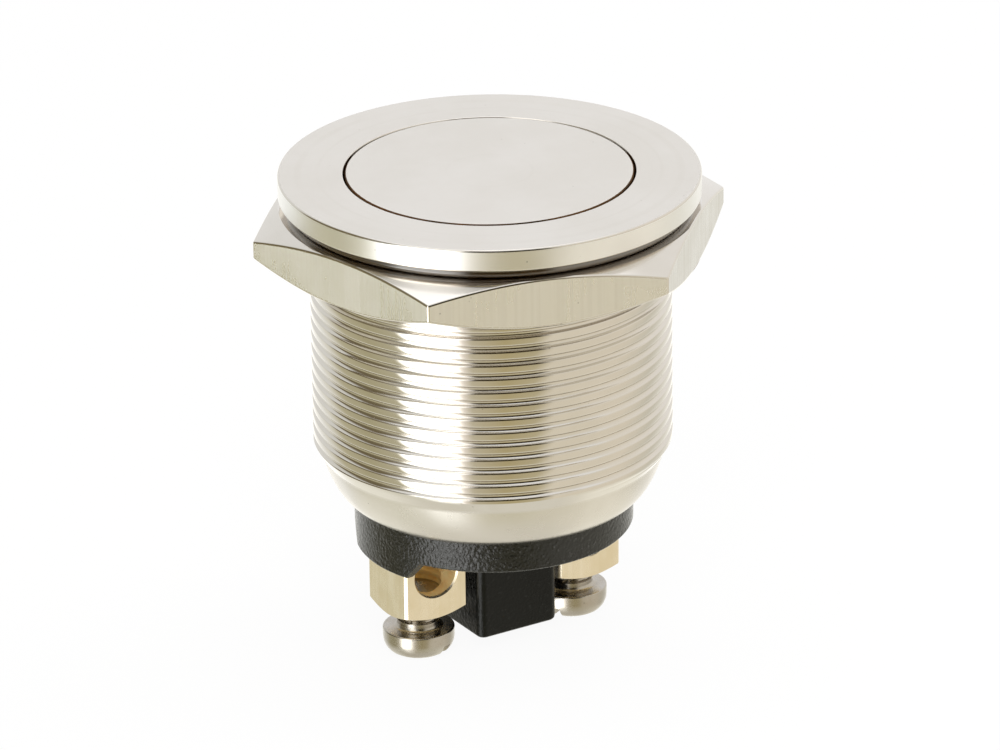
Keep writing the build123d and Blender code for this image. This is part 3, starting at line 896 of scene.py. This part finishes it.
@dataclass
class Nut:
    """The hexagonal panel nut."""

    flats: float = 22.0
    top: float = -0.55
    thickness: float = 2.6
    clocking: float = 44.0
    bore: float = 9.5
    sink: float = 0.35
    top_angle: float = 22.5
    bottom_angle: float = 30.0
    edge: float = 0.09
    reach: float = 2.0
    over: float = 0.4

    def build(self, workshop: Workshop) -> None:
        """Model the nut: a hexagon trimmed by its turned chamfers, tapped inside, and dress it.

        Args:
            workshop: The finishes.
        """
        low = self.top - self.thickness
        flat = self.flats / 2
        clear_selection()
        bpy.ops.mesh.primitive_cylinder_add(
            vertices=6,
            radius=flat / math.cos(math.radians(30)) * MM,
            depth=self.thickness * MM,
            location=(0, 0, (self.top + low) / 2 * MM),
            rotation=(0, 0, math.radians(self.clocking - 90)),
        )
        piece = named("nut_hexagon")
        wide = flat + self.reach
        fall, rise = (self.reach * math.tan(math.radians(angle)) for angle in (self.top_angle, self.bottom_angle))
        outline = [(flat, self.top), (wide, self.top - fall), (wide, low + rise), (flat, low)]
        combine(piece, turned("nut_blank", outline, solid=True, segments=216), "INTERSECT")
        sharp = {"limit_method": "ANGLE", "angle_limit": math.radians(40), "use_clamp_overlap": False}
        modify(piece, "BEVEL", width=self.edge * MM, segments=4, **sharp)
        tap = Thread(crest=self.bore, root=self.bore + 0.2, pitch=0.75, groove=0.42, floor=0.2)
        combine(piece, tap.plug("nut_tap", low - self.over, self.top + self.over))
        mouth = self.bore + self.sink + self.over
        for name, height, way in (("upper_sink", self.top, 1), ("lower_sink", low, -1)):
            outline = [(mouth, height + self.over * way), (self.bore - 0.2, height - (self.sink + 0.2) * way)]
            combine(piece, turned(name, outline, solid=True))
        workshop.dress(crisp(piece, 20), "nut", "hex_nut", "nut_steel")
        turns = [math.radians(self.clocking + 30 + 60 * side) for side in range(6)]
        ways = [Vector((math.cos(turn), math.sin(turn), 0)) for turn in turns]
        workshop.touch_up(piece, "turned_steel", lambda spot, way: max(way.dot(flat) for flat in ways) < 0.998)


@dataclass
class Base:
    """The moulded base: cup, closing disc, end walls, separator and pockets for the posts."""

    cup: float = 7.9
    cup_top: float = -12.0
    cup_bore: float = 6.6
    floor: float = -16.1
    pit: float = 1.7
    pit_floor: float = -17.0
    shoulder: float = -15.5
    disc: float = 7.35
    low: float = -18.4
    seal: float = -13.6
    seal_half: float = 0.45
    seal_floor: float = 7.25
    wall: float = 0.45
    wall_drop: float = 1.0
    wall_width: float = 4.8
    wall_flare: float = 0.8
    separator_x: float = 4.8
    separator_y: float = 4.85
    separator_drop: float = 5.7
    separator_corner: float = 0.45
    post_x: float = 4.75
    pocket: float = 3.86
    pocket_top: float = -17.2
    rivet: float = 0.9

    def round_part(self) -> Object:
        """Turn the cup and the closing disc."""
        lower, upper = self.seal - self.seal_half, self.seal + self.seal_half
        corners = [
            (self.disc - 0.6, self.low), (self.disc, self.low, 0.14), (self.disc, self.shoulder),
            (self.cup, self.shoulder), (self.cup, lower), (self.seal_floor, lower), (self.seal_floor, upper),
            (self.cup, upper), (self.cup, self.cup_top, 0.1), (self.cup_bore, self.cup_top, 0.1),
            (self.cup_bore, self.floor), (self.pit, self.floor), (self.pit, self.pit_floor),
        ]
        return turned("base_moulding", rounded(corners), solid=True)

    def end_walls(self) -> Object:
        """Make the two low walls with flared ends outside the posts."""
        top = self.low + 0.4
        bottom = self.low - self.wall_drop
        inner = self.disc - self.wall
        corners = [(inner, top), (inner, bottom, 0.08), (self.disc, bottom, 0.12), (self.disc, top)]
        walls = turned("end_walls", rounded(corners))
        gate = bar("gate", (20, self.wall_width, top - bottom), (top + bottom) / 2)
        pick(gate, "FACE", lambda spot: spot.z > top - 0.01)
        flare = 1 + 2 * self.wall_flare * (top - bottom) / self.wall_drop / self.wall_width
        bpy.ops.transform.resize(value=(1, flare, 1), center_override=(0, 0, top * MM))
        return combine(walls, gate, "INTERSECT")

    def separator(self) -> Object:
        """Make the square block between the terminals, with rounded corners and lower edges."""
        top = self.low + 0.6
        bottom = self.low - self.separator_drop
        middle = (top + bottom) / 2
        block = bar("separator", (self.separator_x, self.separator_y, top - bottom), middle)
        bevel_edges(block, self.separator_corner, 6, lambda spot: abs(spot.z - middle) < 0.01)
        bevel_edges(block, 0.2, 3, lambda spot: spot.z < bottom + 0.01)
        return block

    def build(self, workshop: Workshop) -> None:
        """Model the whole moulding and dress it.

        Args:
            workshop: The finishes.
        """
        piece = self.round_part()
        combine(piece, self.separator(), "UNION")
        combine(piece, self.end_walls(), "UNION")
        bottom = self.low - 2
        for side in (-self.post_x, self.post_x):
            size = (self.pocket, self.pocket, self.pocket_top - bottom)
            combine(piece, bar("pocket", size, (self.pocket_top + bottom) / 2, side))
            outline = [(self.rivet, self.pocket_top - 0.5), (self.rivet, self.floor + 0.5)]
            combine(piece, shift(cutter("rivet_hole", outline), side))
        workshop.dress(crisp(piece), "body", "insulating_base", "charcoal_plastic")
        half = self.separator_x / 2 + 0.05
        workshop.touch_up(piece, "matt_plastic", lambda spot, way: spot.z < self.low and abs(spot.x) < half)


class Side(Enum):
    """The two terminals, by where they stand along X."""

    LEFT = -1
    RIGHT = 1


@dataclass
class TerminalPost:
    """A square brass post with a rivet at its top, a cross hole for the wire and a tapped bore."""

    side: Side
    middle: float = 4.75
    across: float = 3.8
    top: float = -17.2
    end: float = -22.45
    edge: float = 0.13
    end_radius: float = 1.85
    end_angle: float = 26.0
    reach: float = 3.2
    rivet: float = 0.9
    rivet_head: float = 1.2
    rivet_height: float = 0.4
    strip_top: float = -15.7
    wire: float = 1.25
    wire_bevel: float = 0.09
    wire_height: float = -19.9
    bore: float = 1.25
    bore_top: float = -18.25

    def drill(self) -> Object:
        """Make the tool for the wire's hole, with both mouths bevelled."""
        wide, end = self.wire + self.wire_bevel, self.across / 2
        half = [(wide, end + 0.1), (wide, end), (self.wire, end - self.wire_bevel)]
        drill = cutter("wire_drill", [(radius, -reach) for radius, reach in half] + half[::-1])
        lie = Matrix.Rotation(math.radians(90), 4, "X")
        drill.data.transform(Matrix.Translation((0, 0, self.wire_height * MM)) @ lie)
        return drill

    def build(self, workshop: Workshop) -> None:
        """Model the post and dress it.

        Args:
            workshop: The finishes.
        """
        name = self.side.name.lower()
        half = (self.top + self.end) / 2
        piece = bar(f"post_{name}", (self.across, self.across, self.top - self.end), half)
        bevel_edges(piece, self.edge, 1, lambda spot: abs(spot.z - half) < 0.01)
        rise = (self.reach - self.end_radius) * math.tan(math.radians(self.end_angle))
        outline = [
            (self.end_radius - 0.1, self.end), (self.end_radius, self.end + 0.02),
            (self.reach, self.end + rise), (self.reach, self.top),
        ]
        combine(piece, turned("post_blank", outline, True, SMALL_SEGMENTS * 2), "INTERSECT")
        head_top = self.strip_top + self.rivet_height
        corners = [
            (self.rivet, self.top - 0.3), (self.rivet, self.strip_top), (self.rivet_head, self.strip_top),
            (self.rivet_head, head_top, 0.2), (0.5, head_top),
        ]
        combine(piece, cutter("rivet", rounded(corners)), "UNION")
        tap = Thread(self.bore - 0.03, self.bore + 0.12, 0.45, 0.3, 0.08, segments=SMALL_SEGMENTS)
        combine(piece, tap.plug("post_tap", self.end - 0.4, self.bore_top))
        outline = [(self.bore + 0.34, self.end - 0.2), (self.bore - 0.1, self.end + 0.24)]
        combine(piece, cutter("post_sink", outline))
        combine(piece, self.drill())
        workshop.dress(crisp(piece), "body", f"terminal_post_{name}", "terminal_brass")
        # the inside of the wire hole and bore takes the brighter brass, which is painted light
        inside = self.across / 2 - 0.1
        workshop.touch_up(
            piece,
            "hole_brass",
            lambda spot, way: max(abs(spot.x), abs(spot.y)) < inside and self.end < spot.z < self.top - 0.1,
        )
        shift(piece, self.side.value * self.middle)


@dataclass
class TerminalScrew:
    """A slotted screw with a thick round head, backed out of its post."""

    side: Side
    slot_angle: float
    middle: float = 4.75
    tip: float = -21.3
    tip_bevel: Point = (0.2, 0.12)
    neck: float = 1.1
    neck_length: float = 0.5
    bearing: float = -23.5
    head: float = 1.9
    head_height: float = 1.35
    slot_width: float = 0.55
    slot_depth: float = 0.6
    thread: Thread = Thread(1.2, 1.0, 0.45, 0.26, 0.07, swell=0.03, segments=SMALL_SEGMENTS)

    def build(self, workshop: Workshop) -> None:
        """Model the screw: threaded shank, neck and slotted head, and dress it.

        Args:
            workshop: The finishes.
        """
        name = self.side.name.lower()
        shank_end = self.bearing + self.neck_length
        shank_top = self.tip - self.tip_bevel[1]
        end = self.bearing - self.head_height
        crest = self.thread.crest
        piece = self.thread.strip(f"screw_{name}", shank_end, shank_top)
        corners = [
            (crest, shank_end), (self.neck, shank_end - 0.08), (self.neck, self.bearing, 0.22),
            (self.head, self.bearing, 0.08), (self.head, self.bearing - 0.5),
            (self.head - 0.03, self.bearing - 0.75), (self.head - 0.13, end + 0.35),
            (self.head - 0.3, end + 0.14), (self.head - 0.48, end + 0.03), (self.head - 0.65, end), (0.5, end),
        ]
        continue_ring(piece, (crest, shank_end), rounded(corners, 6)[1:])
        continue_ring(piece, (crest, shank_top), [(crest - self.tip_bevel[0], self.tip)])
        fill(piece, end, self.neck)
        fill(piece, self.tip, self.neck)
        close_up(piece)
        slot = bar("slot", (5, self.slot_width, 2 * self.slot_depth), end)
        combine(piece, shift(slot, 0, self.slot_angle))
        shift(piece, self.side.value * self.middle)
        workshop.dress(crisp(piece, 33), f"screw_{name}", f"terminal_screw_{name}", "nickel")


@dataclass
class Coil:
    """A coil spring, which on the real switch gives way as the button goes in."""

    node: str
    body: str  # the body that its fixed end moves with
    radius: float  # to the wire's middle
    wire: float  # the wire's radius
    turns: int
    low: float  # height of the lowest turn's start
    rise: float  # from there to the top turn's end
    seat: float  # height of the seat that its fixed end keeps to
    keep: float  # share of its length that is left when the button is in

    def build(self, workshop: Workshop) -> None:
        """Model the spring and dress it.

        Args:
            workshop: The finishes.
        """
        clear_selection()
        bpy.ops.mesh.primitive_circle_add(
            vertices=14,
            radius=self.wire * MM,
            location=(self.radius * MM, 0, self.low * MM),
            rotation=(math.radians(90), 0, 0),
        )
        piece = named(f"{self.node}_coil")
        turn, steps, rise = math.tau * self.turns, 40 * self.turns, self.rise * MM
        modify(piece, "SCREW", angle=turn, screw_offset=rise, iterations=1, steps=steps, render_steps=steps)
        edit(piece)
        bpy.ops.mesh.fill_holes(sides=0)
        smooth(close_up(piece), 50)
        workshop.dress(piece, self.body, self.node, "spring_steel")
        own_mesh(piece)


class Works:
    """The pieces inside: two springs that are modelled anew, and those whose solid shape stays."""

    def build(self, workshop: Workshop) -> None:
        """Build the springs and dress the carried-over nodes.

        Args:
            workshop: The finishes.
        """
        Coil("return_spring", "button", 2.75, 0.25, 7, -10.12, 9.64, -0.2, 0.853).build(workshop)
        Coil("contact_spring", "bridge", 1.8, 0.125, 3, -13.545, 1.29, -13.7, 0.622).build(workshop)
        workshop.carry_over("seal_rubber", "cap_seal", "base_seal")
        workshop.carry_over("spring_steel", "cap_clip", "bridge_clip")
        workshop.carry_over("ivory_plastic", "guide_sleeve", "plunger")
        workshop.carry_over("contact_brass", "contact_bridge", "contact_strip_left", "contact_strip_right")
        for side in ("left", "right"):
            workshop.carry_over("contact_silver", f"moving_contact_{side}", f"fixed_contact_{side}")


# Studio: floor, surroundings, lamps and camera


@dataclass(frozen=True)
class Ring:
    """One band of the surroundings that the metal mirrors, between two heights.

    Its stops are bearings with their linear red, green and blue, which run into each other. A bearing is in
    degrees as seen from the camera, 0 towards it and rising to its right.
    """

    top: float  # sine of the height at which it ends, from -1 at the foot to 1 overhead
    edge: float  # how softly it ends, as a sine
    stops: Sequence[tuple[float, float, float, float]]


RINGS = (
    Ring(-0.9, 0.06, (
        (-180, 0.84, 0.81, 0.7), (-60, 0.84, 0.81, 0.7), (-50, 0.9, 0.87, 0.77),
        (-32, 0.9, 0.87, 0.77), (-22, 0.84, 0.81, 0.7), (180, 0.84, 0.81, 0.7),
    )),
    Ring(-0.64, 0.06, (
        (-180, 1.1, 1.08, 0.96), (-120, 0.98, 0.96, 0.84), (-85, 0.86, 0.84, 0.7), (-60, 0.88, 0.86, 0.74),
        (-52, 1.5, 1.5, 1.4), (-32, 1.4, 1.4, 1.3), (-22, 0.95, 0.92, 0.8), (-8, 0.76, 0.72, 0.55),
        (25, 0.76, 0.72, 0.55), (45, 0.84, 0.8, 0.65), (110, 1.02, 0.98, 0.84), (180, 1.1, 1.08, 0.96),
    )),
    Ring(-0.13, 0.04, (
        (-180, 1.5, 1.47, 1.4), (-140, 1.0, 1.0, 0.95), (-124, 0.86, 0.84, 0.73), (-110, 0.58, 0.54, 0.37),
        (-85, 0.5, 0.46, 0.29), (-62, 0.58, 0.54, 0.38), (-53, 4.5, 4.5, 4.4), (-28, 4.2, 4.2, 4.1),
        (-19, 1.1, 1.02, 0.92), (-13, 0.66, 0.6, 0.44), (8, 0.54, 0.46, 0.25), (28, 0.6, 0.53, 0.34),
        (38, 0.88, 0.81, 0.66), (90, 0.88, 0.81, 0.67), (120, 0.75, 0.72, 0.61), (150, 1.0, 0.98, 0.9),
        (180, 1.5, 1.47, 1.4),
    )),
    Ring(0.8, 0.05, (
        (-180, 1.05, 1.055, 1.065), (-122, 0.8, 0.8, 0.75), (-112, 0.2, 0.16, 0.1), (-100, 0.18, 0.15, 0.08),
        (-75, 0.24, 0.2, 0.12), (-56, 0.5, 0.5, 0.45), (-50, 2.2, 2.2, 2.1), (-20, 2.0, 1.95, 1.85),
        (-12, 0.06, 0.045, 0.02), (5, 0.03, 0.02, 0.007), (30, 0.04, 0.028, 0.01), (38, 0.85, 0.8, 0.68),
        (110, 0.95, 0.9, 0.8), (180, 1.05, 1.055, 1.065),
    )),
    Ring(1.0, 0.0, (
        (-180, 1.7, 1.7, 1.68), (-155, 1.6, 1.6, 1.58), (-125, 1.0, 1.0, 0.98), (125, 1.0, 1.0, 0.98),
        (155, 1.6, 1.6, 1.58), (180, 1.7, 1.7, 1.68),
    )),
)


@dataclass
class Studio:
    """A pale table in a bright room with darker gaps between its lights."""

    camera_place: Sequence[float] = (-193.451, -317.359, 149.051)
    camera_target: Sequence[float] = (0.348, -0.212, -10.338)
    camera_roll: float = -0.753
    lens: float = 278.053
    floor_height: float = -24.95
    floor_glow: float = 0.94
    ambient: Colour = (0.45, 0.45, 0.45)

    def build(self) -> None:
        """Set up floor, world, lamps and camera."""
        self.floor()
        self.world()
        self.lamp("key_light", (-220, -330, 420), 260, 1.5)
        self.lamp("top_light", (60, 40, 620), 520, 2.2)
        self.lamp("side_light", (420, -120, 260), 300, 0.7)
        self.camera()
        bpy.context.scene.view_settings.view_transform = "Standard"

    def floor(self) -> None:
        """Lay the pale floor, which keeps the object's soft shadow."""
        clear_selection()
        bpy.ops.mesh.primitive_plane_add(size=2.4, location=(0, 0, self.floor_height * MM))
        floor = named("floor")
        floor.visible_glossy = False
        material = bpy.data.materials.new("pale_floor")
        material.use_nodes = True
        graph = Graph(material.node_tree)
        graph.tree.nodes.clear()
        path = graph.add("ShaderNodeLightPath")
        glow = graph.add("ShaderNodeEmission", {"Color": (1, 1, 1, 1)})
        matt = graph.add("ShaderNodeBsdfDiffuse", {"Color": (0.82, 0.81, 0.8, 1)})
        seen = graph.maths("MULTIPLY", path.outputs["Is Camera Ray"], self.floor_glow)
        mix = graph.add("ShaderNodeMixShader", {"Fac": seen, 1: matt.outputs[0], 2: glow.outputs[0]})
        graph.add("ShaderNodeOutputMaterial", {"Surface": mix.outputs[0]})
        floor.data.materials.append(material)

    def world(self) -> None:
        """Make the surroundings: white to the camera, zones to the metal, plain grey as light."""
        world = bpy.data.worlds.new("room")
        bpy.context.scene.world = world
        world.use_nodes = True
        graph = Graph(world.node_tree)
        graph.tree.nodes.clear()
        x, y, z = graph.split(graph.add("ShaderNodeTexCoord").outputs["Generated"])
        toward = math.atan2(self.camera_place[1], self.camera_place[0])
        bearing = graph.maths("ARCTAN2", y, x)
        turns = graph.maths("MULTIPLY_ADD", bearing, 1 / math.tau, 0.5 - toward / math.tau)
        around = graph.maths("FRACT", turns)
        room = self.band(graph, around, RINGS[-1])
        for ring in reversed(RINGS[:-1]):
            below = graph.ramp(z, ring.top - ring.edge, ring.top + ring.edge)
            room = graph.blend(below, self.band(graph, around, ring), room)
        path = graph.add("ShaderNodeLightPath").outputs
        mirrored = graph.maths("ADD", path["Is Glossy Ray"], path["Is Transmission Ray"])
        seen = graph.blend(mirrored, self.ambient, room)
        seen = graph.blend(path["Is Camera Ray"], seen, (1.0, 1.0, 1.0))
        glow = graph.add("ShaderNodeBackground", {"Color": seen})
        graph.add("ShaderNodeOutputWorld", {"Surface": glow.outputs[0]})

    @staticmethod
    def band(graph: Graph, around: NodeSocket, ring: Ring) -> NodeSocket:
        """Give a ring's colour.

        Args:
            graph: The world's graph.
            around: The turn around the object, from 0 to 1.
            ring: The ring.

        Returns:
            The colour.
        """
        node = graph.add("ShaderNodeValToRGB", {0: around})
        stops = node.color_ramp.elements
        stops.remove(stops[1])
        stops[0].position = 0.0
        stops[0].color = (*ring.stops[0][1:], 1)
        for bearing, *colour in ring.stops[1:]:
            stops.new((bearing + 180) / 360).color = (*colour, 1)
        return node.outputs[0]

    @staticmethod
    def lamp(name: str, place: Sequence[float], size: float, power: float) -> None:
        """Hang a soft square lamp that points at the button.

        Args:
            name: Its name.
            place: Where it hangs, in millimetres.
            size: Its side in millimetres.
            power: Its power in watts.
        """
        data = bpy.data.lights.new(name, "AREA")
        data.size = size * MM
        data.energy = power
        lamp = bpy.data.objects.new(name, data)
        lamp.visible_glossy = False
        bpy.context.collection.objects.link(lamp)
        lamp.location = Vector(place) * MM
        lamp.rotation_euler = (-lamp.location).to_track_quat("-Z", "Y").to_euler()

    def camera(self) -> None:
        """Stand the camera where the photograph was taken."""
        data = bpy.data.cameras.new("camera")
        data.lens = self.lens
        data.sensor_width = 36
        data.clip_start = 0.01
        camera = bpy.data.objects.new("camera", data)
        bpy.context.collection.objects.link(camera)
        place = Vector(self.camera_place) * MM
        aim = (Vector(self.camera_target) * MM - place).to_track_quat("-Z", "Y")
        camera.location = place
        camera.rotation_mode = "QUATERNION"
        camera.rotation_quaternion = aim @ Quaternion((0, 0, 1), math.radians(self.camera_roll))
        bpy.context.scene.camera = camera


def main() -> None:
    """Build and dress the whole push button, the stage and the camera."""
    workshop = Workshop()
    Studio().build()
    Barrel().build(workshop)
    Cap().build(workshop)
    Gasket().build(workshop)
    Nut().build(workshop)
    Base().build(workshop)
    for side, slot_angle in ((Side.LEFT, -67.0), (Side.RIGHT, 30.0)):
        TerminalPost(side).build(workshop)
        TerminalScrew(side, slot_angle).build(workshop)
    Works().build(workshop)
    clear_selection()


if __name__ == "__main__":
    main()
